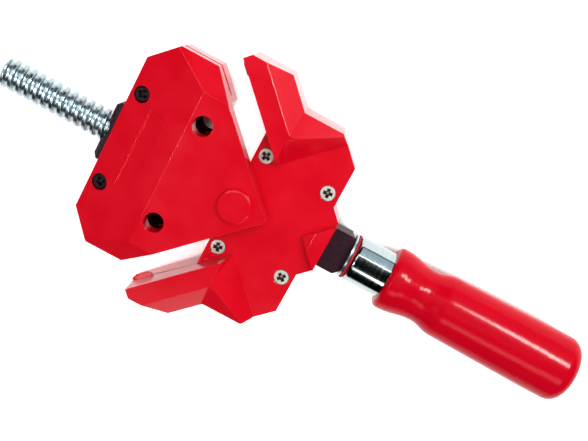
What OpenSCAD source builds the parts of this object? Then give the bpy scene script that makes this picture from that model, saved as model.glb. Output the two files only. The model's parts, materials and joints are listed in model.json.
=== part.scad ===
// Corner clamp for holding two boards at a right angle while they are joined.
// A wedge-shaped inner jaw is screwed to a bench. A spindle through its nut draws the outer jaw on.
// X runs along the spindle towards the handle, Z is up.
// The origin lies on the wedge's underside, midway between its two bench holes.

/* [Jaws] */
// Height of both jaws
jaw_h = 35; // [32:0.5:42]
// Height of the spindle's axis above the underside
axis_z = 10.8; // [10.7:0.1:11]
// Distance from the bench holes' centre line to the wedge's apex
apex_x = 54.7; // [48:0.1:60]
// Gap between the clamping faces in the modelled position, square to the faces
jaw_gap = 14.9; // [12:0.1:20]
// Half width of both jaws across their ends
end_half = 62.2; // [58:0.1:68]
// Depth of the two bare side edges that close the ends of a jaw
end_bevel = 14.9; // [10:0.1:18]

/* [Wedge] */
// Distance from the bench holes' centre line back to the wedge's back edge
back_x = 45.2; // [42:0.1:52]
// Distance from the bench holes' centre line back to the crease of the sloping back
crease_x = 7.5; // [5:0.1:10]
// Drop of the sloping back, from the crease to the back edge
back_drop = 13; // [10:0.1:13.2]
// Drop of the sloping ends
end_drop = 8.8; // [6:0.1:10]
// Height of the groove's lower edge, between the wedge's two shells
groove_z = 15; // [14.8:0.1:15.2]
// Height of the groove
groove_h = 3.5; // [2:0.1:4]
// Depth of the groove from the wedge's outline
groove_depth = 6; // [3:0.1:8]
// Distance from the bench holes' centre line to the lower shell's front
foot_front = 7.4; // [7:0.1:9]
// Spacing of the two bench holes
bench_spacing = 60.8; // [56:0.1:66]
// Diameter of a bench hole
bench_d = 11.4; // [9:0.1:12]
// Spacing of the wedge's two screws
wedge_screw_spacing = 55.6; // [52:0.1:64]
// Distance from the bench holes' centre line back to the wedge's screws
wedge_screw_x = 38.6; // [34:0.1:40]
// Diameter of the counterbore over a wedge screw
counterbore_d = 9.6; // [9:0.1:11]
// Length and width of the bare recess in the sloping back
recess_size = [46, 10.4]; // [5:0.1:60]
// Depth of the bare recess
recess_depth = 0.6; // [0.3:0.1:1.5]
// Distance from the crease back to the bare recess's lower edge, along the slope
recess_setback = 23.6; // [20:0.1:26]
// Width of the rim that closes the groove at the lower shell's front
rim_w = 3; // [2:0.1:4]
// Thickness of the plate under the wedge's nose
slide_plate_t = 2; // [1:0.1:3]
// Distance by which that plate stays back from the clamping faces, along the spindle
slide_plate_inset = 3; // [2:0.1:5]
// Distance from the apex back to the rivet
rivet_setback = 19.4; // [17:0.1:24]
// Diameter of the rivet's head
rivet_head_d = 19.4; // [14:0.1:20]
// Height of the rivet's head
rivet_head_h = 3.5; // [2:0.1:5]
// Width of the soft edge of the rivet's head
rivet_edge = 1.2; // [0.5:0.1:1.8]
// Diameter of the rivet's shank
rivet_d = 8; // [5:0.1:10]

/* [Outer jaw] */
// Thickness of the outer jaw's plate
plate_t = 4.5; // [3.5:0.1:4.5]
// Height of the plate's upper face
plate_top = 20.1; // [20:0.1:20.6]
// Length of a clamping face on the outer jaw, at its upper edge
face_length = 58; // [50:0.1:60]
// Width of the flat strip along a clamping face
strip_w = 11.5; // [8:0.1:14]
// Width of the sloping outer side of an arm, seen from above
arm_slope_w = 10.8; // [8:0.1:12]
// Half width across the arms' ends
arm_half = 77.2; // [75:0.1:80]
// Bevel at the inner corner of an arm's end
arm_bevel = 4; // [2:0.1:6]
// Distance from the jaw corner to the outer jaw's front edge, along the spindle
plate_front = 8.4; // [6:0.1:10]
// Distance by which the plate reaches back from the jaw corner
plate_reach = 44.7; // [44:0.1:46]
// Half width of the plate's front corners
plate_front_half = 47.2; // [42:0.1:52]
// Half width of the neck at the front edge
neck_half = 22.3; // [20:0.1:26]
// Length of the neck
neck_length = 6.5; // [5:0.1:8]
// Half width of the mouth that the swivel block stands out of
mouth_half = 15.8; // [15:0.1:18]
// Distance from the jaw corner back to the point where the gussets' foot lines would meet
gusset_setback = 58.9; // [56:0.1:62]
// Drop of a gusset's upper side, to its outer edge
gusset_drop = 8.3; // [6:0.1:8.4]
// Slope of a gusset's inner side, in degrees
gusset_angle = 47; // [40:1:60]
// Height of the small step along a gusset's foot
gusset_lip = 1.2; // [0.6:0.1:2]
// Slope of the flat strip's inner end, in degrees
strip_end_angle = 77; // [70:1:82]
// Width of the tongue on a clamping face, which enters the wedge's groove when the clamp closes
tongue_w = 12; // [8:0.1:14]
// Length by which the tongue stands out of the clamping face
tongue_proud = 3; // [2:0.1:3.5]
// Thickness of the tongue
tongue_t = 2.3; // [1.5:0.1:2.4]
// Distance from the arm's end to the tongue's middle
tongue_setback = 6.6; // [6.2:0.1:9]
// Rise of the hood over the swivel block
hood_h = 6; // [4.5:0.1:7]
// Length of the hood
hood_length = 14.5; // [13:0.1:16]
// Length of the hood's sloping tip
hood_tip = 6; // [4:0.1:8]
// Distance from the jaw corner back to the rear screws
rear_screw_x = 38.4; // [36:0.1:39]
// Spacing of the rear screws
rear_screw_spacing = 59.6; // [56:0.1:60]
// Distance from the jaw corner to the front screws
front_screw_x = 1.6; // [0:0.1:3]
// Spacing of the front screws
front_screw_spacing = 55.8; // [54:0.1:64]

/* [Screws] */
// Diameter of a screw's head
screw_head_d = 9.2; // [8:0.1:9.4]
// Diameter of a screw's shank
screw_d = 5; // [4:0.1:5.5]
// Height of a countersunk head
screw_head_h = 2.6; // [2:0.1:3]
// Length of a wedge screw under its head
wedge_screw_length = 19.4; // [17:0.1:20]
// Height of a wedge screw's head above the groove
wedge_screw_rise = 3.5; // [3.4:0.1:4.2]
// Metal left below a screw of the outer jaw
jaw_screw_floor = 6; // [4:0.1:8]
// Width across the drive recess
drive_w = 4.6; // [3:0.1:6]
// Width of one slot of the drive recess
drive_slot = 1; // [0.6:0.1:1.4]

/* [Spindle] */
// Outside diameter of the thread
thread_d = 18; // [16:0.1:18]
// Advance for one turn
thread_pitch = 5.2; // [4:0.1:6]
// Distance from the bench holes' centre line back to the thread's end
thread_end = 115.6; // [108:0.1:125]
// Length of the thread
thread_length = 121; // [110:0.1:124]
// Diameter of the plain shank
shank_d = 10; // [9:0.1:10]
// Length of the bevel at the thread's end
thread_bevel = 1.5; // [0.5:0.1:2]
// Length of the tang inside the handle
tang_length = 70; // [40:1:100]

/* [Nut] */
// Width of the nut block
nut_w = 35.2; // [32:0.1:37]
// Length of the nut block
nut_length = 31.5; // [29:0.1:32]
// Length of the nut block that stands out of the wedge's back
nut_proud = 4.3; // [3:0.1:6]
// Height of the nut block
nut_h = 19.4; // [19.3:0.1:19.6]
// Corner bevel of the nut block
nut_bevel = 2.4; // [1:0.1:4]
// Outside diameter of the threaded insert
insert_d = 18.7; // [18.6:0.1:18.8]
// Distance from the bench holes' centre line back to the nut's pivot
nut_pivot_x = 30; // [27:0.1:33]
// Diameter of a pivot pin
pin_d = 7; // [5:0.1:7.5]
// Length by which an upper pivot pin stands out of its block
pin_proud_up = 3.6; // [2:0.1:4]

/* [Swivel block] */
// Width of the block's head
block_w = 24.8; // [22:0.1:25]
// Height of the block
block_h = 14; // [13.6:0.1:14.2]
// Radius of the block's round inner end
block_r = 9; // [8:0.1:9.4]
// Distance from the outer jaw's front edge back to the swivel axis
swivel_setback = 4.5; // [4:0.1:5.5]
// Length of the block that stands out of the outer jaw
block_proud = 14.1; // [10:0.1:18]
// Bevel of the block's outer corners
block_bevel = 3.2; // [2:0.1:5]
// Wall of the bush in the block
bush_wall = 0.9; // [0.5:0.1:0.9]
// Most that the block and the nut swing to either side, in degrees
swing = 3; // [1:0.5:3.5]

/* [Handle] */
// Thickness of the steel washer
washer_t = 1.1; // [0.6:0.1:2]
// Diameter of the steel washer
washer_d = 26; // [20:0.1:27]
// Thickness of the fibre washer
fibre_t = 1.2; // [0.6:0.1:2]
// Diameter of the fibre washer
fibre_d = 27; // [22:0.1:28]
// Diameter of the ferrule
ferrule_d = 27.6; // [24:0.1:30]
// Length of the ferrule
ferrule_length = 22.6; // [18:0.1:28]
// Radius of the ferrule's front edge
ferrule_round = 2.4; // [1:0.1:4]
// Length of the handle
handle_length = 121; // [100:1:140]
// Diameter of the handle's front collar
collar_d = 37.8; // [33:0.1:40]
// Length of the collar's full part
collar_length = 5; // [4:0.1:8]
// Radius of the collar's front edge
collar_round = 3; // [2:0.1:3.5]
// Diameter of the handle's neck
neck_d = 32; // [29:0.1:33]
// Distance from the handle's front to the middle of its neck
neck_x = 24; // [20:0.5:28]
// Diameter of the grip where it begins
grip_d = 37.4; // [34:0.1:38]
// Distance from the handle's front to the place where the grip begins
grip_start = 37.5; // [34:0.5:42]
// Largest diameter of the grip
swell_d = 39.6; // [38:0.1:42]
// Distance from the handle's front to the grip's largest diameter
swell_x = 98; // [80:1:104]
// Radius of the handle's round end
end_round = 9; // [6:0.1:12]
// Length by which the handle's spigot enters the ferrule
spigot_length = 16; // [8:0.1:18]
// Wall of the ferrule
ferrule_wall = 1.5; // [1:0.1:2]

/* [Hidden] */
$fn = 64;

curve_steps = 6;

// Clearances
slide_gap = 0.3;
run_gap = 0.05;
seat_gap = 0.03;
cut = 1;
far = 200;

// Wedge
corner_x = apex_x + jaw_gap * sqrt(2);
back_half = end_half - end_bevel;
nose_bottom = plate_top + slide_gap;
front_bottom = nose_bottom + slide_plate_t;
groove_top = groove_z + groove_h;
rivet_x = apex_x - rivet_setback;
back_angle = atan(back_drop / (back_x - crease_x));
end_angle = atan(end_drop / end_bevel);
wedge_seat = groove_top + wedge_screw_rise - screw_head_h;

// Outer jaw
front_x = corner_x + plate_front;
hood_front = front_x + neck_length;
parting_z = plate_top - plate_t;
strip_end = corner_x - (arm_half - arm_bevel) + face_length / sqrt(2);
ridge_sum = corner_x + strip_w * sqrt(2);
outer_sum = ridge_sum + arm_slope_w * sqrt(2);
arm_slope = atan(end_drop / arm_slope_w);
gusset_y = ridge_sum - strip_end;
gusset_slope = atan(gusset_drop / (end_half - gusset_y));
gusset_base = corner_x - gusset_setback;
bevel_sum = front_x + plate_front_half;
plate_back = corner_x - plate_reach;
jaw_screw_length = plate_top - jaw_screw_floor;

// Spindle, nut and swivel block
swivel_x = hood_front - swivel_setback;
block_out = hood_front + block_proud;
ferrule_x = block_out + washer_t + fibre_t + slide_gap;
handle_x = ferrule_x + ferrule_length;
nut_back = -back_x - nut_proud;
nut_front = nut_back + nut_length;
nut_low = axis_z - nut_h / 2;
nut_high = axis_z + nut_h / 2;
block_low = axis_z - block_h / 2;
block_high = axis_z + block_h / 2;
bush_d = shank_d + 2 * run_gap + 2 * bush_wall;
ring_t = 1.2;
ring_d = shank_d + 2;
ring_room = 4;

// One solid for each side of the spindle
module both_sides() {
    children();
    mirror([0, 1, 0]) children();
}

// A prism from low to high over an outline
module prism(outline, low, high) {
    translate([0, 0, low]) linear_extrude(high - low) polygon(outline);
}

// Everything above a plane that meets height z along a line through origin,
// and falls away at an angle in the line's own direction
module above_slope(x, y, z, heading, angle) {
    translate([x, y, z]) rotate([0, 0, heading]) rotate([0, angle, 0])
        translate([-cut, -far, 0]) cube([far, 2 * far, far]);
}

// A half outline and its mirror image, as one outline. Points on the spindle's plane are kept once
function mirrored(half) = concat(
    half,
    [for (i = [len(half) - 1:-1:0]) if (half[i][1] > 0) [half[i][0], -half[i][1]]]
);

// Axis along X from x0 to x1
module rod(x0, x1, d) {
    translate([x0, 0, axis_z]) rotate([0, 90, 0]) cylinder(h = x1 - x0, d = d);
}

wedge_outline = mirrored([
    [apex_x, 0],
    [apex_x - end_half, end_half],
    [-back_x + end_bevel, end_half],
    [-back_x, back_half]
]);
foot_outline = mirrored([
    [foot_front, apex_x - foot_front],
    [apex_x - end_half, end_half],
    [-back_x + end_bevel, end_half],
    [-back_x, back_half]
]);
nose_outline = mirrored([
    [apex_x - slide_plate_inset, 0],
    [foot_front + slide_gap, apex_x - slide_plate_inset - foot_front - slide_gap]
]);

// The sloping back and ends of the wedge
module wedge_facets() {
    above_slope(-crease_x, 0, jaw_h, 180, back_angle);
    both_sides() above_slope(0, back_half, jaw_h, 90, end_angle);
}

// Room for the nut block, which swings a little to either side
module nut_pocket() {
    swing_room = nut_length * tan(swing) + slide_gap;
    translate([-back_x - cut, -nut_w / 2 - swing_room, nut_low - slide_gap])
        cube([back_x + cut + nut_front + swing_room, nut_w + 2 * swing_room, nut_h + 2 * slide_gap]);
    translate([-nut_pivot_x, 0, -cut])
        cylinder(h = cut + nut_high + pin_proud_up + slide_gap, d = pin_d + 2 * run_gap);
}

// Room for the spindle ahead of the nut
module wedge_channel() {
    half = thread_d / 2 + (nut_pivot_x + foot_front) * tan(swing) + slide_gap;
    translate([nut_front - cut, -half, axis_z - thread_d / 2 - slide_gap])
        cube([foot_front - nut_front + 2 * cut, 2 * half, thread_d + 2 * slide_gap]);
}

module at_wedge_screws() {
    both_sides() translate([-wedge_screw_x, wedge_screw_spacing / 2, 0]) children();
}

module at_bench_holes() {
    both_sides() translate([0, bench_spacing / 2, 0]) children();
}

module wedge_upper_shell() {
    color("red") difference() {
        prism(wedge_outline, groove_top, jaw_h);
        wedge_facets();
        // the nose is lower below, where it passes over the outer jaw's plate
        translate([foot_front, -far, 0]) cube([far, 2 * far, front_bottom]);
        nut_pocket();
        wedge_channel();
        at_bench_holes() cylinder(h = jaw_h + cut, d = bench_d);
        at_wedge_screws() {
            translate([0, 0, wedge_seat]) cylinder(h = jaw_h, d = counterbore_d);
            cylinder(h = jaw_h, d = screw_d + 2 * seat_gap);
        }
        translate([rivet_x, 0, 0]) cylinder(h = jaw_h + cut, d = rivet_d + 2 * seat_gap);
        translate([-crease_x, 0, jaw_h]) rotate([0, -back_angle, 0])
            translate([-recess_setback, -recess_size[0] / 2, -recess_depth])
                cube([recess_size[1], recess_size[0], far]);
    }
}

module wedge_lower_shell() {
    color("red") difference() {
        union() {
            prism(foot_outline, 0, groove_z);
            intersection() {
                prism(foot_outline, 0, groove_top);
                translate([-back_x + groove_depth, -back_half, 0])
                    cube([back_x + foot_front - 2 * groove_depth, 2 * back_half, groove_top]);
            }
            intersection() {
                prism(foot_outline, 0, groove_top);
                translate([foot_front - rim_w, -far, 0]) cube([far, 2 * far, groove_top]);
            }
            at_wedge_screws() cylinder(h = groove_top, d = counterbore_d);
        }
        nut_pocket();
        wedge_channel();
        at_bench_holes() translate([0, 0, -cut]) cylinder(h = jaw_h, d = bench_d);
        at_wedge_screws() translate([0, 0, wedge_seat - wedge_screw_length - seat_gap])
            cylinder(h = jaw_h, d = screw_d + 2 * seat_gap);
    }
}

// A pan head screw with a cross recess, head upwards, seat at z = 0
module pan_screw(length) {
    difference() {
        union() {
            cylinder(h = screw_head_h, d = screw_head_d);
            translate([0, 0, -length]) cylinder(h = length + cut, d = screw_d);
        }
        cross_recess(screw_head_h);
    }
}

// A countersunk screw with a cross recess, its head's upper face at z = 0
module countersunk_screw(length) {
    difference() {
        union() {
            translate([0, 0, -screw_head_h]) cylinder(h = screw_head_h, d1 = screw_d, d2 = screw_head_d);
            translate([0, 0, -length]) cylinder(h = length - screw_head_h + cut, d = screw_d);
        }
        cross_recess(0);
    }
}

module cross_recess(top) {
    for (a = [0, 90])
        translate([0, 0, top]) rotate([0, 0, a])
            cube([drive_w, drive_slot, screw_head_h * 1.4], center = true);
}

module wedge_screws() {
    color("dimgray") at_wedge_screws()
        translate([0, 0, wedge_seat]) pan_screw(wedge_screw_length);
}

module slide_plate() {
    color("silver") difference() {
        prism(nose_outline, nose_bottom, front_bottom);
        translate([rivet_x, 0, 0]) cylinder(h = jaw_h, d = rivet_d + 2 * seat_gap);
    }
}

module apex_rivet() {
    color("red") translate([rivet_x, 0, 0]) {
        translate([0, 0, nose_bottom]) cylinder(h = jaw_h - nose_bottom + cut / 2, d = rivet_d);
        translate([0, 0, jaw_h]) rotate_extrude() polygon([
            [0, 0],
            [rivet_head_d / 2, 0],
            [rivet_head_d / 2, rivet_head_h - rivet_edge],
            [rivet_head_d / 2 - rivet_edge * (1 - cos(45)), rivet_head_h - rivet_edge * (1 - sin(45))],
            [rivet_head_d / 2 - rivet_edge, rivet_head_h],
            [0, rivet_head_h]
        ]);
    }
}

nut_plan = mirrored([
    [nut_front, nut_w / 2 - nut_bevel],
    [nut_front - nut_bevel, nut_w / 2],
    [nut_back + nut_bevel, nut_w / 2],
    [nut_back, nut_w / 2 - nut_bevel]
]);

module nut_block() {
    color("black") difference() {
        prism(nut_plan, nut_low, nut_high);
        // the back edges are bevelled above and below
        for (m = [0, 1]) translate([nut_back, 0, axis_z]) mirror([0, 0, m])
            translate([0, 0, nut_h / 2 - nut_bevel]) rotate([0, -45, 0])
                translate([-far, -far, 0]) cube([2 * far, 2 * far, far]);
        rod(nut_back - cut, nut_front + cut, insert_d + 2 * seat_gap);
    }
}

module nut_insert() {
    color("gray") difference() {
        rod(nut_back + nut_bevel, nut_front, insert_d);
        rod(nut_back, nut_front + cut, thread_d + 2 * run_gap);
    }
}

module nut_pivot_pins() {
    color("gray") translate([-nut_pivot_x, 0, 0]) {
        translate([0, 0, nut_high]) cylinder(h = pin_proud_up, d = pin_d);
        translate([0, 0, slide_gap]) cylinder(h = nut_low - slide_gap, d = pin_d);
    }
}

module swivel_block() {
    head_x = swivel_x + slide_gap;
    color("black") difference() {
        union() {
            translate([swivel_x, 0, block_low]) cylinder(h = block_h, r = block_r);
            prism(mirrored([
                [block_out, block_w / 2 - block_bevel],
                [block_out - block_bevel, block_w / 2],
                [head_x, block_w / 2]
            ]), block_low, block_high);
        }
        rod(swivel_x - block_r - cut, block_out + cut, bush_d + 2 * seat_gap);
    }
}

module swivel_pins() {
    color("gray") translate([swivel_x, 0, 0]) {
        translate([0, 0, block_high]) cylinder(h = pin_proud_up, d = pin_d);
        translate([0, 0, slide_gap]) cylinder(h = block_low - slide_gap, d = pin_d);
    }
}

module shank_bush() {
    color("goldenrod") difference() {
        rod(swivel_x - block_r + slide_gap, block_out, bush_d);
        rod(swivel_x - block_r - cut, block_out + cut, shank_d + 2 * run_gap);
    }
}

module thrust_washer() {
    color("silver") difference() {
        rod(block_out, block_out + washer_t, washer_d);
        rod(block_out - cut, block_out + washer_t + cut, shank_d + 2 * run_gap);
    }
}

module spindle() {
    color("silver") {
        difference() {
            rod(-thread_end, -thread_end + thread_length, thread_d);
            // bevelled end of the thread
            translate([-thread_end, 0, axis_z]) rotate([0, 90, 0]) difference() {
                translate([0, 0, -cut]) cylinder(h = cut + thread_bevel, d = thread_d + cut);
                cylinder(h = thread_bevel, d1 = thread_d - 2 * thread_bevel, d2 = thread_d);
            }
        }
        rod(-thread_end + thread_length - cut, handle_x + tang_length, shank_d);
    }
}

module retaining_ring() {
    ring_x = swivel_x - block_r - slide_gap - ring_t;
    color("gray") difference() {
        rod(ring_x, ring_x + ring_t, ring_d);
        rod(ring_x - cut, ring_x + ring_t + cut, shank_d + 2 * seat_gap);
    }
}

module fibre_washer() {
    fibre_x = ferrule_x - fibre_t;
    color("firebrick") difference() {
        rod(fibre_x, ferrule_x, fibre_d);
        rod(fibre_x - cut, ferrule_x + cut, shank_d + 2 * seat_gap);
    }
}

module ferrule() {
    r = ferrule_d / 2;
    color("lightgray") translate([ferrule_x, 0, axis_z]) rotate([0, 90, 0]) rotate_extrude() difference() {
        union() {
            translate([0, ferrule_round]) square([r, ferrule_length - ferrule_round]);
            square([r - ferrule_round, ferrule_length]);
            translate([r - ferrule_round, ferrule_round]) circle(r = ferrule_round);
        }
        translate([-far, -cut]) square([far + shank_d / 2 + seat_gap, far]);
        translate([-cut, ferrule_length - spigot_length]) square([r - ferrule_wall + cut, far]);
    }
}

// A smooth passage from one radius to another along the handle
function passage(r0, r1, x0, x1) = [
    for (i = [0:curve_steps]) let (t = i / curve_steps)
        [r0 + (r1 - r0) * (1 - cos(180 * t)) / 2, x0 + (x1 - x0) * t]
];

// Half outline of the turned handle, from its front collar to its round end
module handle_profile() {
    collar = collar_d / 2;
    neck = neck_d / 2;
    swell = swell_d / 2;
    end_x = handle_length - end_round;
    spigot_r = ferrule_d / 2 - ferrule_wall - seat_gap;
    translate([0, -spigot_length]) square([spigot_r, spigot_length + cut]);
    difference() {
        union() {
            square([collar - collar_round, collar_length]);
            translate([collar - collar_round, collar_round]) circle(r = collar_round);
            translate([0, collar_round]) square([collar, collar_length - collar_round]);
            polygon(concat(
                [[0, collar_length]],
                passage(collar, neck, collar_length, neck_x),
                passage(neck, grip_d / 2, neck_x + cut, grip_start),
                [[swell, swell_x], [swell, end_x], [0, end_x]]
            ));
            translate([swell - end_round, end_x]) circle(r = end_round);
            translate([0, end_x]) square([swell - end_round, end_round]);
        }
        translate([-far, -far]) square([far, 2 * far]);
    }
}

module handle() {
    color("crimson") difference() {
        translate([handle_x, 0, axis_z]) rotate([0, 90, 0]) rotate_extrude() handle_profile();
        rod(handle_x - far / 2, handle_x + tang_length + seat_gap, shank_d + 2 * seat_gap);
    }
}

// Corners of the outer jaw that its plate and its arms share
arm_inner = [corner_x - arm_half + arm_bevel, arm_half - arm_bevel];
arm_tip = [corner_x - arm_half + 2 * arm_bevel, arm_half];
arm_outer = [outer_sum - arm_half, arm_half];
waist = [outer_sum - end_half, end_half];
shoulder = [bevel_sum - end_half, end_half];
gusset_corner = [(bevel_sum + gusset_base) / 2, (bevel_sum - gusset_base) / 2];
plate_notch = [plate_back, plate_reach];
jaw_outline = mirrored([
    [hood_front, mouth_half],
    [front_x, neck_half],
    [front_x, plate_front_half],
    gusset_corner,
    shoulder,
    waist,
    arm_outer,
    arm_tip,
    arm_inner,
    plate_notch
]);
arm_outline = [
    arm_inner,
    plate_notch,
    [(corner_x + gusset_base) / 2, (corner_x - gusset_base) / 2],
    gusset_corner,
    shoulder,
    waist,
    arm_outer,
    arm_tip
];

// One arm with its sloping outer side, and the gusset that ties it to the plate.
// The arm's slope and the gusset's slope meet in a valley
module arm() {
    difference() {
        prism(arm_outline, plate_top, jaw_h);
        intersection() {
            above_slope(ridge_sum, 0, jaw_h, 45, arm_slope);
            above_slope(0, gusset_y, jaw_h, 90, gusset_slope);
        }
        intersection() {
            translate([gusset_base, 0, plate_top + gusset_lip]) rotate([0, 0, -45]) rotate([0, gusset_angle, 0])
                translate([-far, -far, 0]) cube([2 * far, 2 * far, far]);
            above_slope(strip_end, 0, jaw_h, 0, strip_end_angle);
        }
    }
}

// A flat tongue on the clamping face near the arm's end
module tongue() {
    translate([arm_inner[0], arm_inner[1], parting_z + slide_gap]) rotate([0, 0, -45])
        linear_extrude(tongue_t) polygon([
            [tongue_setback - tongue_w / 2, cut],
            [tongue_setback - tongue_w / 2, -tongue_proud / 2],
            [tongue_setback - tongue_w / 4, -tongue_proud],
            [tongue_setback + tongue_w / 4, -tongue_proud],
            [tongue_setback + tongue_w / 2, -tongue_proud / 2],
            [tongue_setback + tongue_w / 2, cut]
        ]);
}

module hood() {
    tip_angle = atan(hood_h / hood_tip * 0.5);
    difference() {
        prism(mirrored([
            [hood_front, hood_length],
            [hood_front - hood_length, 0]
        ]), plate_top, plate_top + hood_h);
        above_slope(hood_front - hood_length + hood_tip, 0, plate_top + hood_h, 180, tip_angle);
    }
}

// Room for the swivel block and for the shank behind it
module block_pocket() {
    mouth = 1.5;
    half = block_w / 2 + (hood_front - swivel_x + cut) * tan(swing) + slide_gap;
    shank_half = shank_d / 2 + (swivel_x - plate_back) * tan(swing) + slide_gap;
    translate([swivel_x, 0, block_low - slide_gap])
        cylinder(h = block_h + 2 * slide_gap, r = block_r + slide_gap);
    translate([swivel_x - mouth, -half, block_low - slide_gap])
        cube([far, 2 * half, block_h + 2 * slide_gap]);
    translate([plate_back - cut, -shank_half, axis_z - shank_d / 2 - slide_gap])
        cube([swivel_x - plate_back, 2 * shank_half, shank_d + 2 * slide_gap]);
    // behind the block there is room for the retaining ring
    translate([swivel_x - block_r - ring_room, -block_r, block_low - slide_gap])
        cube([ring_room, 2 * block_r, block_h + 2 * slide_gap]);
    translate([swivel_x, 0, -cut])
        cylinder(h = cut + block_high + pin_proud_up + slide_gap, d = pin_d + 2 * run_gap);
}

module at_jaw_screws() {
    both_sides() {
        translate([corner_x - rear_screw_x, rear_screw_spacing / 2, 0]) children();
        translate([corner_x + front_screw_x, front_screw_spacing / 2, 0]) children();
    }
}

module screw_seats() {
    at_jaw_screws() {
        translate([0, 0, plate_top - screw_head_h - seat_gap])
            cylinder(h = screw_head_h + 2 * seat_gap, d1 = screw_d + 2 * seat_gap,
                     d2 = screw_head_d + 4 * seat_gap);
        translate([0, 0, plate_top - jaw_screw_length - seat_gap])
            cylinder(h = jaw_screw_length, d = screw_d + 2 * seat_gap);
    }
}

module jaw_upper_shell() {
    color("red") difference() {
        union() {
            prism(jaw_outline, parting_z, plate_top);
            both_sides() arm();
            both_sides() tongue();
            hood();
        }
        block_pocket();
        screw_seats();
    }
}

module jaw_lower_shell() {
    color("red") difference() {
        prism(jaw_outline, 0, parting_z);
        block_pocket();
        screw_seats();
    }
}

module jaw_screws() {
    color("silver") at_jaw_screws() translate([0, 0, plate_top]) countersunk_screw(jaw_screw_length);
}

wedge_upper_shell();
wedge_lower_shell();
wedge_screws();
slide_plate();
apex_rivet();
nut_block();
nut_insert();
nut_pivot_pins();
swivel_block();
swivel_pins();
shank_bush();
thrust_washer();
spindle();
retaining_ring();
fibre_washer();
ferrule();
handle();
jaw_upper_shell();
jaw_lower_shell();
jaw_screws();
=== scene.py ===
"""Looks of the corner clamp: coated castings, plated thread, lacquered handle, studio light and camera."""
import json
import math

import bmesh
import bpy
from mathutils import Matrix, Vector

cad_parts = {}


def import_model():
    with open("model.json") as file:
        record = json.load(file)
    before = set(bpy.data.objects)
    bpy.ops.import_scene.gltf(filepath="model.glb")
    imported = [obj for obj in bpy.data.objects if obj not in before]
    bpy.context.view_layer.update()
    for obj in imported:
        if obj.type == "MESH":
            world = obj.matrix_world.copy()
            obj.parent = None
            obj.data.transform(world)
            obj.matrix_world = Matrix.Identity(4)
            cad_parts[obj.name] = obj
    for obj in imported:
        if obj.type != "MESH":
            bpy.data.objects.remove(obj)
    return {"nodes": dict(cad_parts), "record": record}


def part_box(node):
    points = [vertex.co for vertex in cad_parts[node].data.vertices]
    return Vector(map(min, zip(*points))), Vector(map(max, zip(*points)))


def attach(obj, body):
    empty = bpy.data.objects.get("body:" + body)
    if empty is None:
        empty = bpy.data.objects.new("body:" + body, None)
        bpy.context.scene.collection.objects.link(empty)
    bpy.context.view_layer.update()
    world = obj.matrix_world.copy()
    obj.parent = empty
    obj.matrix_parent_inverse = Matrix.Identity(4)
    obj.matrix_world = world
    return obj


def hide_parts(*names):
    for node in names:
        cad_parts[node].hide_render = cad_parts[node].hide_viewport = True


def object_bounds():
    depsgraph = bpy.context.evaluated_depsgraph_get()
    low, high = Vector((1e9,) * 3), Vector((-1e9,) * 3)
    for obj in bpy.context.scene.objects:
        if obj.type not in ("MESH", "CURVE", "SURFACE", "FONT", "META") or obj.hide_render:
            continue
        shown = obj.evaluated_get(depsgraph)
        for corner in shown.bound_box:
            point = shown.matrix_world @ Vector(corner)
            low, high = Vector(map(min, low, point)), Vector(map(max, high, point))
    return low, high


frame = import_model()
cad_box = [list(corner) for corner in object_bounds()]
nodes = frame["nodes"]
MM = 0.001

# Sizes that the frame gives
spindle_low, spindle_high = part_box("spindle")
handle_low, handle_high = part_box("handle")
HANDLE_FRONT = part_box("ferrule")[1].x
WEDGE_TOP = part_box("wedge_upper_shell")[1].z
AXIS_Z = (spindle_low.z + spindle_high.z) / 2
THREAD_R = (spindle_high.z - spindle_low.z) / 2


# Meshes

def new_object(name, mesh):
    obj = bpy.data.objects.new(name, mesh)
    bpy.context.scene.collection.objects.link(obj)
    return obj


def mesh_object(name, bm):
    mesh = bpy.data.meshes.new(name)
    bm.to_mesh(mesh)
    bm.free()
    return new_object(name, mesh)


def axis_ring(bm, x, radii):
    """A ring of corners round the spindle's axis, one for each radius."""
    ring = []
    for i, radius in enumerate(radii):
        angle = 2 * math.pi * i / len(radii)
        ring.append(bm.verts.new((x, radius * math.cos(angle), AXIS_Z + radius * math.sin(angle))))
    return ring


def skin(bm, rings):
    """Closed skin over a row of rings, with a flat face at both ends."""
    for first, second in zip(rings, rings[1:]):
        for i in range(len(first)):
            j = (i + 1) % len(first)
            bm.faces.new((first[i], second[i], second[j], first[j]))
    bm.faces.new(rings[0])
    bm.faces.new(rings[-1])


def shade_smooth(obj):
    for polygon in obj.data.polygons:
        polygon.use_smooth = True


def mark_sharp(obj, degrees):
    """Keeps the edges sharp where the faces meet at more than so many degrees."""
    bm = bmesh.new()
    bm.from_mesh(obj.data)
    for edge in bm.edges:
        faces = edge.link_faces
        edge.smooth = len(faces) == 2 and faces[0].normal.angle(faces[1].normal, 0) < math.radians(degrees)
    bm.to_mesh(obj.data)
    bm.free()


# Materials

# Part of a noise's range over which a colour or a gloss changes; the last is the part of the screws' painted
# shade over which their colour changes
NOISE_SPAN = (0.3, 0.7)
MARKS_SPAN = (0.25, 0.75)
PAINTED_SHADE_SPAN = (0.1, 0.8)


def new_material(name):
    mat = bpy.data.materials.new(name)
    mat.use_nodes = True
    tree = mat.node_tree
    return mat, tree, tree.nodes["Principled BSDF"]


def object_noise(tree, scale, detail, stretch=None):
    """Noise that is fixed to the piece, with its own scale along X, Y and Z if stretch is given."""
    place = tree.nodes.new("ShaderNodeTexCoord").outputs["Object"]
    if stretch is not None:
        mapping = tree.nodes.new("ShaderNodeMapping")
        mapping.inputs["Scale"].default_value = stretch
        tree.links.new(place, mapping.inputs["Vector"])
        place = mapping.outputs["Vector"]
    noise = tree.nodes.new("ShaderNodeTexNoise")
    noise.inputs["Scale"].default_value = scale
    noise.inputs["Detail"].default_value = detail
    tree.links.new(place, noise.inputs["Vector"])
    return noise.outputs["Fac"]


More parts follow.
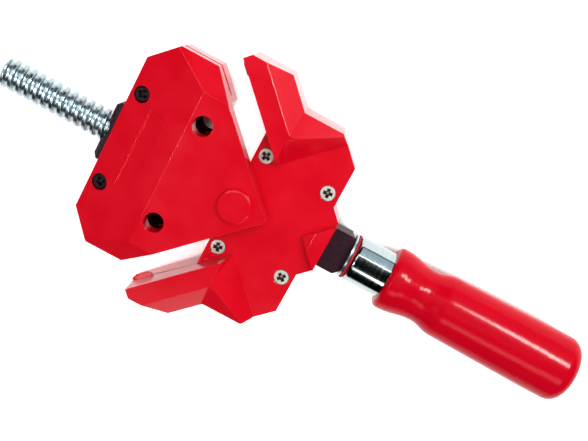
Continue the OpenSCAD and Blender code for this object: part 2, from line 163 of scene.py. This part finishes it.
def vary(tree, source, target, first, last, span=NOISE_SPAN):
    """Leads a shader's socket from the first colour to the last over a span of the source."""
    node = tree.nodes.new("ShaderNodeValToRGB")
    for end, position, colour in zip(node.color_ramp.elements, span, (first, last)):
        end.position = position
        end.color = colour
    tree.links.new(source, node.inputs["Fac"])
    tree.links.new(node.outputs["Color"], target)


def bump(tree, shader, height, strength, distance):
    node = tree.nodes.new("ShaderNodeBump")
    node.inputs["Strength"].default_value = strength
    node.inputs["Distance"].default_value = distance
    tree.links.new(height, node.inputs["Height"])
    tree.links.new(node.outputs["Normal"], shader.inputs["Normal"])


def grey(value):
    return (value, value, value, 1)


def coated_casting():
    """Satin red powder coat with a fine orange peel."""
    mat, tree, shader = new_material("red_coat")
    mottle = object_noise(tree, 60, 3)
    vary(tree, mottle, shader.inputs["Base Color"], (0.66, 0.0006, 0.011, 1), (0.71, 0.001, 0.014, 1))
    vary(tree, mottle, shader.inputs["Roughness"], grey(0.14), grey(0.2))
    shader.inputs["Specular IOR Level"].default_value = 0.35
    bump(tree, shader, object_noise(tree, 500, 2), 0.1, 0.2 * MM)
    return mat


def lacquered_wood():
    """Red lacquer over turned wood: deep gloss, with a trace of the grain below."""
    mat, tree, shader = new_material("lacquered_wood")
    grain = object_noise(tree, 4, 4, stretch=(6, 120, 120))
    vary(tree, grain, shader.inputs["Base Color"], (0.53, 0.0004, 0.01, 1), (0.58, 0.0008, 0.013, 1))
    bump(tree, shader, object_noise(tree, 420, 2), 0.25, 0.2 * MM)
    shader.inputs["Roughness"].default_value = 0.16
    shader.inputs["Specular IOR Level"].default_value = 0.06
    return mat


def turned_metal(name, smoothest, roughest, colour):
    """Metal with faint turning marks, which are a little darker and vary its gloss."""
    mat, tree, shader = new_material(name)
    marks = object_noise(tree, 1, 3, stretch=(900, 30, 30))
    vary(tree, marks, shader.inputs["Roughness"], grey(smoothest), grey(roughest))
    dark = tuple(0.85 * channel for channel in colour)
    vary(tree, marks, shader.inputs["Base Color"], dark + (1,), colour + (1,), MARKS_SPAN)
    shader.inputs["Metallic"].default_value = 1.0
    return mat


def screw_steel():
    """Pale plated screw, with painted shade in the recess and round the rim, and a painted glint in the
    recess's middle.
    """
    mat, tree, shader = new_material("pale_screw")
    # Painted shade from the screw mesh: near black in the recess and round the rim, with a painted glint in
    # the recess's middle
    painted_shade_attr = tree.nodes.new("ShaderNodeAttribute")
    painted_shade_attr.attribute_name = "recess"
    vary(tree, painted_shade_attr.outputs["Fac"], shader.inputs["Base Color"],
         (0.56, 0.52, 0.45, 1), (0.025, 0.012, 0.008, 1), PAINTED_SHADE_SPAN)
    marks = object_noise(tree, 700, 3)
    vary(tree, marks, shader.inputs["Roughness"], grey(0.34), grey(0.46))
    shader.inputs["Metallic"].default_value = 0.3
    return mat


def black_moulding():
    mat, tree, shader = new_material("black_moulding")
    speckle = object_noise(tree, 500, 3)
    # Black of the moulding, with a red-purple tint that is a painted reflection of the red castings
    vary(tree, speckle, shader.inputs["Base Color"], (0.018, 0.002, 0.008, 1), (0.03, 0.004, 0.013, 1))
    vary(tree, speckle, shader.inputs["Roughness"], grey(0.4), grey(0.52))
    bump(tree, shader, speckle, 0.1, 0.1 * MM)
    shader.inputs["Specular IOR Level"].default_value = 0.12
    return mat


def painted_bore_shade():
    """Painted shade for the deep walls of a hole: near black, fully rough and without gloss."""
    mat, tree, shader = new_material("painted_bore_shade")
    speckle = object_noise(tree, 800, 3)
    vary(tree, speckle, shader.inputs["Base Color"], (0.012, 0.002, 0.003, 1), (0.02, 0.004, 0.006, 1))
    shader.inputs["Roughness"].default_value = 1.0
    shader.inputs["Specular IOR Level"].default_value = 0.0
    return mat


def fibre():
    mat, tree, shader = new_material("red_fibre")
    speckle = object_noise(tree, 1500, 3)
    vary(tree, speckle, shader.inputs["Base Color"], (0.3, 0.002, 0.008, 1), (0.42, 0.004, 0.012, 1))
    shader.inputs["Roughness"].default_value = 0.6
    shader.inputs["Specular IOR Level"].default_value = 0.2
    return mat


# The finish of each material slot in the record
FINISH = {
    "red_coat": coated_casting(),
    "lacquered_wood": lacquered_wood(),
    "zinc_steel": turned_metal("zinc_steel", 0.24, 0.32, (0.4, 0.49, 0.52)),
    "bright_ferrule": turned_metal("bright_ferrule", 0.1, 0.16, (0.42, 0.49, 0.49)),
    "dark_steel": turned_metal("dark_steel", 0.4, 0.55, (0.02, 0.014, 0.017)),
    "bronze": turned_metal("bronze", 0.3, 0.42, (0.55, 0.36, 0.16)),
    "black_moulding": black_moulding(),
    "red_fibre": fibre(),
}
SLOT_OF = {sub["node"]: sub["material_slot"] for sub in frame["record"]["subparts"]}
PALE_SCREW = screw_steel()
BORE_SHADE = painted_bore_shade()


def set_material(obj, mat):
    obj.data.materials.clear()
    obj.data.materials.append(mat)


# Castings and blocks: a copy with soft edges stands for the sharp solid

CASTING_BEVEL = 0.7 * MM
BLOCK_BEVEL = 0.4 * MM
BEVEL_SEGMENTS = 2
FLAT_FACE_WEIGHT = 100
# Faces that meet at a smaller angle keep their edge as it is, in degrees
BEVEL_ANGLE = 12
FLAT_ANGLE = 0.5
MERGE_DISTANCE = 1e-6
# Bench holes, with the height below which their walls carry painted shade
BENCH_HOLE_Y = 30.4 * MM
BENCH_HOLE_R = 6 * MM
BORE_SHADE_TOP = WEDGE_TOP - 10 * MM


def in_bench_hole(corners):
    return all(math.hypot(co.x, abs(co.y) - BENCH_HOLE_Y) < BENCH_HOLE_R for co in corners)


def cut_bores_at_shade(bm):
    """Cuts the walls of the bench holes where their painted shade starts."""
    walls = [face for face in bm.faces if in_bench_hole([vert.co for vert in face.verts])]
    edges = {edge for face in walls for edge in face.edges}
    verts = {vert for face in walls for vert in face.verts}
    bmesh.ops.bisect_plane(bm, geom=walls + list(edges) + list(verts), plane_co=(0, 0, BORE_SHADE_TOP),
                           plane_no=(0, 0, 1))


def paint_bore_shade(obj):
    """Gives the bench holes' walls painted shade below the cut, as a second material."""
    obj.data.materials.append(BORE_SHADE)
    for polygon in obj.data.polygons:
        corners = [obj.data.vertices[i].co for i in polygon.vertices]
        if in_bench_hole(corners) and polygon.center.z < BORE_SHADE_TOP:
            polygon.material_index = 1


def soften(node, body, width):
    obj = new_object(node + "_soft", nodes[node].data.copy())
    bm = bmesh.new()
    bm.from_mesh(obj.data)
    bmesh.ops.remove_doubles(bm, verts=bm.verts, dist=MERGE_DISTANCE)
    bmesh.ops.dissolve_limit(bm, angle_limit=math.radians(FLAT_ANGLE), verts=bm.verts, edges=bm.edges)
    if body == "wedge":
        cut_bores_at_shade(bm)
    bm.to_mesh(obj.data)
    bm.free()
    bevel = obj.modifiers.new("edge", "BEVEL")
    bevel.width = width
    bevel.segments = BEVEL_SEGMENTS
    bevel.limit_method = "ANGLE"
    bevel.angle_limit = math.radians(BEVEL_ANGLE)
    bevel.use_clamp_overlap = True
    normals = obj.modifiers.new("flat_faces", "WEIGHTED_NORMAL")
    normals.weight = FLAT_FACE_WEIGHT
    shade_smooth(obj)
    set_material(obj, FINISH[SLOT_OF[node]])
    # The bench holes' walls below the cut get painted shade
    if body == "wedge":
        paint_bore_shade(obj)
    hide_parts(node)
    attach(obj, body)


# Spindle: one helical ridge swept round a core, and a plain shank that ends inside the handle

THREAD_PITCH = 5.2 * MM
THREAD_LENGTH = 121 * MM
THREAD_DEPTH = 2.2 * MM
THREAD_AROUND = 64
THREAD_PER_PITCH = 18
# Shares of half a pitch: the groove's flat floor, and the flank that rises beside it
GROOVE_SHARE = 0.28
FLANK_SHARE = 0.36
# The thread's bevelled ends: how deep they start, and how fast the radius grows
END_DEPTH = 1.6 * MM
END_SLOPE = 1.1
THREAD_SHARP_ANGLE = 60
SHANK_R = 5.0 * MM
SHANK_IN_HANDLE = 20 * MM


def thread_radius(phase):
    """Radius of a rounded trapezoid thread at a share of one pitch, from 0 to 1."""
    rise = (abs(2 * phase - 1) - GROOVE_SHARE) / FLANK_SHARE
    rise = min(max(rise, 0), 1)
    return THREAD_R - THREAD_DEPTH * (1 - (3 - 2 * rise) * rise * rise)


def thread_rings(bm):
    step = THREAD_PITCH / THREAD_PER_PITCH
    rows = int(THREAD_LENGTH / step)
    rings = []
    for row in range(rows + 1):
        bevelled = THREAD_R - END_DEPTH + END_SLOPE * min(row, rows - row) * step
        radii = []
        for i in range(THREAD_AROUND):
            phase = (row / THREAD_PER_PITCH - i / THREAD_AROUND) % 1.0
            radii.append(min(thread_radius(phase), bevelled))
        rings.append(axis_ring(bm, spindle_low.x + row * step, radii))
    return rings


def threaded_spindle():
    bm = bmesh.new()
    rings = thread_rings(bm)
    thread_end = rings[-1][0].co.x
    for x in (thread_end, handle_low.x + SHANK_IN_HANDLE):
        rings.append(axis_ring(bm, x, [SHANK_R] * THREAD_AROUND))
    skin(bm, rings)
    bmesh.ops.recalc_face_normals(bm, faces=bm.faces)
    obj = mesh_object("threaded_spindle", bm)
    shade_smooth(obj)
    mark_sharp(obj, THREAD_SHARP_ANGLE)
    set_material(obj, FINISH["zinc_steel"])
    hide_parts("spindle")
    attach(obj, "spindle")


# Screws: each solid of a screw node becomes a screw with a tapered cross recess

SCREW_AROUND = 96
SCREW_SHARP_ANGLE = 25
SCREW_SHANK_R = 2.5 * MM
SCREW_HEAD_H = 2.5 * MM
# The head's upper edge lies below the solid's top, and the recess's floor below that edge
SCREW_INSET = 0.1 * MM
RECESS_DEPTH = 1.7 * MM
# Cross recess, in shares of the head's radius
RECESS_REACH = 0.56
RECESS_WIDTH = 0.42
JAW_SCREW_DOME = 0.1 * MM
WEDGE_SCREW_DOME = 0.3 * MM
# How far each screw was turned when it was tightened, in degrees
JAW_SCREW_TURNS = (20, 65, 50, 10)
WEDGE_SCREW_TURNS = (30, 75)
SAME_PLACE = 1e-7
NEARLY_ZERO = 1e-6


def islands(mesh):
    """The lowest and highest corner of each separate solid in a mesh."""
    bm = bmesh.new()
    bm.from_mesh(mesh)
    bmesh.ops.remove_doubles(bm, verts=bm.verts, dist=SAME_PLACE)
    todo = set(bm.verts)
    boxes = []
    while todo:
        stack = [todo.pop()]
        found = []
        while stack:
            vert = stack.pop()
            found.append(vert.co.copy())
            for edge in vert.link_edges:
                other = edge.other_vert(vert)
                if other in todo:
                    todo.remove(other)
                    stack.append(other)
        boxes.append((Vector(map(min, zip(*found))), Vector(map(max, zip(*found)))))
    bm.free()
    return boxes


def cross_radius(angle, reach, width):
    """Distance from the middle to the edge of a cross-shaped recess, in one direction."""
    across, along = abs(math.cos(angle)), abs(math.sin(angle))
    arms = []
    for ahead, aside in ((across, along), (along, across)):
        arms.append(min(reach / max(ahead, NEARLY_ZERO), width / 2 / max(aside, NEARLY_ZERO)))
    return max(arms)


def screw_rings(radius, bottom, dome):
    """Radii, height and painted shade of each ring, from the shank's end over the rim to the recess's floor.
    """
    # The rim's outer rings carry painted shade, which draws a dark ring round the head
    turned = (
        (SCREW_SHANK_R, bottom, 1),
        (SCREW_SHANK_R, -SCREW_HEAD_H, 1),
        (radius, -1.2 * MM, 1),
        (radius, -0.2 * MM, 1),
        (0.93 * radius, -0.05 * MM, 1),
        (0.88 * radius, 0, 0),
        (0.8 * radius, dome, 0),
    )
    # The recess's walls and floor carry painted shade, and its middle carries less of it, as a painted glint
    recessed = (
        (1.06, dome, 0),
        (1.0, dome - 0.15 * MM, 1),
        (0.55, -RECESS_DEPTH, 1),
        (0.0, -RECESS_DEPTH, 0.2),
    )
    reach = RECESS_REACH * radius
    width = RECESS_WIDTH * radius
    cross = [cross_radius(2 * math.pi * i / SCREW_AROUND, reach, width) for i in range(SCREW_AROUND)]
    rings = [([distance] * SCREW_AROUND, height, painted_darkness) for distance, height, painted_darkness in turned]
    for share, height, painted_darkness in recessed:
        rings.append(([share * edge for edge in cross], height, painted_darkness))
    return rings


def add_screw(bm, recess, top, turn, rings):
    """Adds a screw whose head's upper edge is at top, and writes each ring's painted shade to the mesh
    layer.
    """
    rows = []
    for radii, height, painted_darkness in rings:
        row = []
        for i, distance in enumerate(radii):
            angle = 2 * math.pi * i / SCREW_AROUND + turn
            place = Vector((distance * math.cos(angle), distance * math.sin(angle), height))
            vert = bm.verts.new(top + place)
            vert[recess] = painted_darkness
            row.append(vert)
        rows.append(row)
    skin(bm, rows)


def dressed_screws(node, body, mat, dome, turns):
    bm = bmesh.new()
    # A layer of painted shade on the screws' corners, which their material reads
    recess = bm.verts.layers.float.new("recess")
    boxes = sorted(islands(nodes[node].data), key=lambda box: (box[0].x, box[0].y))
    for (low, high), turn in zip(boxes, turns):
        top = Vector(((low.x + high.x) / 2, (low.y + high.y) / 2, high.z - SCREW_INSET))
        rings = screw_rings((high.x - low.x) / 2, low.z - top.z, dome)
        add_screw(bm, recess, top, math.radians(turn), rings)
    bmesh.ops.remove_doubles(bm, verts=bm.verts, dist=SAME_PLACE)
    bmesh.ops.recalc_face_normals(bm, faces=bm.faces)
    obj = mesh_object(node + "_heads", bm)
    shade_smooth(obj)
    mark_sharp(obj, SCREW_SHARP_ANGLE)
    set_material(obj, mat)
    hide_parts(node)
    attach(obj, body)


# Handle: the CAD solid's own outline, drawn as a smooth curve and turned

HANDLE_AROUND = 96
HANDLE_SHARP_ANGLE = 50
CURVE_STEPS = 4
# Digits that tell two places along the handle apart, and the slack where its front face is looked for
PLACE_DIGITS = 5
FRONT_SLACK = 0.01 * MM
# Corners nearer to the axis than this belong to the handle's bore
BORE_R = 1.5 * SHANK_R
SHORTEST_RUN = 1e-9


def handle_outline():
    """Distance along the handle and radius, from its front face to its round end."""
    widest = {}
    for vert in nodes["handle"].data.vertices:
        x = round(vert.co.x, PLACE_DIGITS)
        radius = math.hypot(vert.co.y, vert.co.z - AXIS_Z)
        widest[x] = max(widest.get(x, 0), radius)
    return [(x, r) for x, r in sorted(widest.items()) if x >= HANDLE_FRONT - FRONT_SLACK and r > BORE_R]


def smooth_outline(points):
    """A curve through the points that is nowhere wider than the widest of them."""
    curve = []
    widest = max(radius for x, radius in points)
    for i in range(len(points) - 1):
        ends = [Vector(points[max(0, min(len(points) - 1, k))]) for k in (i - 1, i, i + 1, i + 2)]
        span = ends[2].x - ends[1].x
        slopes = []
        for before, after in ((0, 2), (1, 3)):
            run = max(ends[after].x - ends[before].x, SHORTEST_RUN)
            slopes.append((ends[after].y - ends[before].y) / run * span)
        for step in range(CURVE_STEPS):
            t = step / CURVE_STEPS
            hermite = (2 * t**3 - 3 * t**2 + 1, t**3 - 2 * t**2 + t, -2 * t**3 + 3 * t**2, t**3 - t**2)
            values = (ends[1].y, slopes[0], ends[2].y, slopes[1])
            radius = sum(weight * value for weight, value in zip(hermite, values))
            curve.append((ends[1].x + t * span, min(radius, widest)))
    curve.append(points[-1])
    return curve


def turned_handle():
    bm = bmesh.new()
    outline = smooth_outline(handle_outline())
    skin(bm, [axis_ring(bm, x, [radius] * HANDLE_AROUND) for x, radius in outline])
    bmesh.ops.recalc_face_normals(bm, faces=bm.faces)
    obj = mesh_object("turned_handle", bm)
    shade_smooth(obj)
    mark_sharp(obj, HANDLE_SHARP_ANGLE)
    set_material(obj, FINISH["lacquered_wood"])
    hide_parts("handle")
    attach(obj, "spindle")


# Floor: a light table, so that it stays white round the clamp

FLOOR_Z = cad_box[0][2] - 0.2 * MM
FLOOR_HALF = 6.0
FLOOR_GLOW = 0.75
FLOOR_TONE = 0.95
SHADOW_TONE = 0.12
# How far above the floor a piece covers it, and the open shares where the shadow starts and ends
COVER_REACH = 25 * MM
COVERED_SHARE = 0.36
OPEN_SHARE = 0.48


def glow_in_the_open(tree):
    """The floor's glow, which ends in the shadow under a piece that is close above."""
    cover = tree.nodes.new("ShaderNodeAmbientOcclusion")
    cover.inputs["Distance"].default_value = COVER_REACH
    fade = tree.nodes.new("ShaderNodeMapRange")
    fade.inputs["From Min"].default_value = COVERED_SHARE
    fade.inputs["From Max"].default_value = OPEN_SHARE
    fade.inputs["To Max"].default_value = FLOOR_GLOW
    tree.links.new(cover.outputs["AO"], fade.inputs["Value"])
    return fade.outputs["Result"]


def floor():
    bm = bmesh.new()
    corners = []
    for side_x, side_y in ((-1, -1), (1, -1), (1, 1), (-1, 1)):
        corners.append(bm.verts.new((side_x * FLOOR_HALF, side_y * FLOOR_HALF, FLOOR_Z)))
    bm.faces.new(corners)
    obj = mesh_object("floor", bm)
    mat, tree, shader = new_material("pale_floor")
    glow = glow_in_the_open(tree)
    vary(tree, glow, shader.inputs["Base Color"], grey(SHADOW_TONE), grey(FLOOR_TONE), (0, FLOOR_GLOW))
    tree.links.new(glow, shader.inputs["Emission Strength"])
    shader.inputs["Emission Color"].default_value = grey(1)
    shader.inputs["Roughness"].default_value = 0.9
    shader.inputs["Specular IOR Level"].default_value = 0.1
    set_material(obj, mat)


# Light, in metres, degrees and watts

TARGET = Vector((0.06, 0, 0.02))
HANDLE_MIDDLE = (handle_low + handle_high) / 2
THREAD_MIDDLE = Vector((spindle_low.x + THREAD_LENGTH / 4, 0, AXIS_Z))
WORLD_STRENGTH = 0.5
WHITE = (1, 1, 1)
SKY_BLUE = (0.72, 0.86, 1.0)
COOL_WHITE = (0.9, 0.97, 1.0)


def from_above(tilt, distance, heading=90):
    """A place over the clamp, so many degrees from the vertical, in a compass direction from +X."""
    angle = math.radians(tilt)
    turn = math.radians(heading)
    aside = Vector((math.cos(turn), math.sin(turn), 0))
    return TARGET + distance * (math.sin(angle) * aside + Vector((0, 0, math.cos(angle))))


# Each lamp has a name, a place, what it faces, its width and height, its power and its colour
SOFT_LIGHT = ("soft_light", from_above(26, 0.9, 62), TARGET, (0.7, 0.7), 6.6, WHITE)
# Lamps and panels that are only seen mirrored in gloss and metal
MIRRORED_LAMPS = (
    ("window", from_above(47, 0.9, 52), TARGET, (0.26, 0.12), 14, WHITE),
    ("ridge", from_above(29, 0.9, 201), TARGET, (0.18, 0.16), 2.6, WHITE),
    ("streak", from_above(40, 0.8), TARGET, (1.0, 0.02), 0.8, WHITE),
    ("panel", Vector((0.5, 0.9, 0.5)), TARGET, (0.9, 0.8), 2.2, SKY_BLUE),
    ("thread_panel", Vector((-0.32, 0.3, 0.7)), THREAD_MIDDLE, (0.5, 0.34), 1.2, COOL_WHITE),
    ("handle_band", Vector((0.46, -0.44, 0.81)), HANDLE_MIDDLE, (0.5, 0.22), 2.4, WHITE),
    ("strip", from_above(-29, 0.9), TARGET, (1.4, 0.14), 0.5, WHITE),
)


def area_light(name, place, target, size, power, colour):
    data = bpy.data.lights.new(name, "AREA")
    data.shape = "RECTANGLE"
    data.size, data.size_y = size
    data.energy = power
    data.color = colour
    obj = bpy.data.objects.new(name, data)
    obj.location = place
    obj.rotation_euler = (target - place).to_track_quat("-Z", "Y").to_euler()
    bpy.context.scene.collection.objects.link(obj)
    return obj


def world():
    """White light from all round, which gloss and metal don't mirror."""
    settings = bpy.data.worlds.new("studio")
    bpy.context.scene.world = settings
    settings.use_nodes = True
    background = settings.node_tree.nodes["Background"]
    background.inputs["Color"].default_value = grey(1)
    background.inputs["Strength"].default_value = WORLD_STRENGTH
    settings.cycles_visibility.glossy = False


def lights():
    world()
    area_light(*SOFT_LIGHT).visible_glossy = False
    for lamp in MIRRORED_LAMPS:
        area_light(*lamp).visible_diffuse = False


# Camera, fitted to the corners of both jaws in the 588 x 441 picture

IMAGE_W = 588
FOCAL_PX = 948.2
SENSOR_W = 36
CAM_PLACE = (0.04956, 0.13057, 0.53784)
CAM_LOOK = (0.03486, -0.23542, -0.97127)
CAM_UP = (-0.47431, 0.85153, -0.22342)


def camera():
    data = bpy.data.cameras.new("camera")
    data.sensor_width = SENSOR_W
    data.lens = FOCAL_PX / IMAGE_W * SENSOR_W
    obj = bpy.data.objects.new("camera", data)
    back = -Vector(CAM_LOOK).normalized()
    right = Vector(CAM_UP).cross(back).normalized()
    up = back.cross(right)
    turn = Matrix((right, up, back)).transposed().to_4x4()
    obj.matrix_world = Matrix.Translation(CAM_PLACE) @ turn
    bpy.context.scene.collection.objects.link(obj)
    bpy.context.scene.camera = obj


for name, solid in nodes.items():
    set_material(solid, FINISH[SLOT_OF[name]])
soften("wedge_upper_shell", "wedge", CASTING_BEVEL)
soften("wedge_lower_shell", "wedge", CASTING_BEVEL)
soften("jaw_upper_shell", "outer_jaw", CASTING_BEVEL)
soften("jaw_lower_shell", "outer_jaw", CASTING_BEVEL)
soften("nut_block", "nut", BLOCK_BEVEL)
soften("swivel_block", "carriage", BLOCK_BEVEL)
threaded_spindle()
turned_handle()
dressed_screws("jaw_screws", "outer_jaw", PALE_SCREW, JAW_SCREW_DOME, JAW_SCREW_TURNS)
dressed_screws("wedge_screws", "wedge", FINISH["dark_steel"], WEDGE_SCREW_DOME, WEDGE_SCREW_TURNS)
floor()
lights()
camera()
bpy.context.scene.view_settings.view_transform = "Standard"
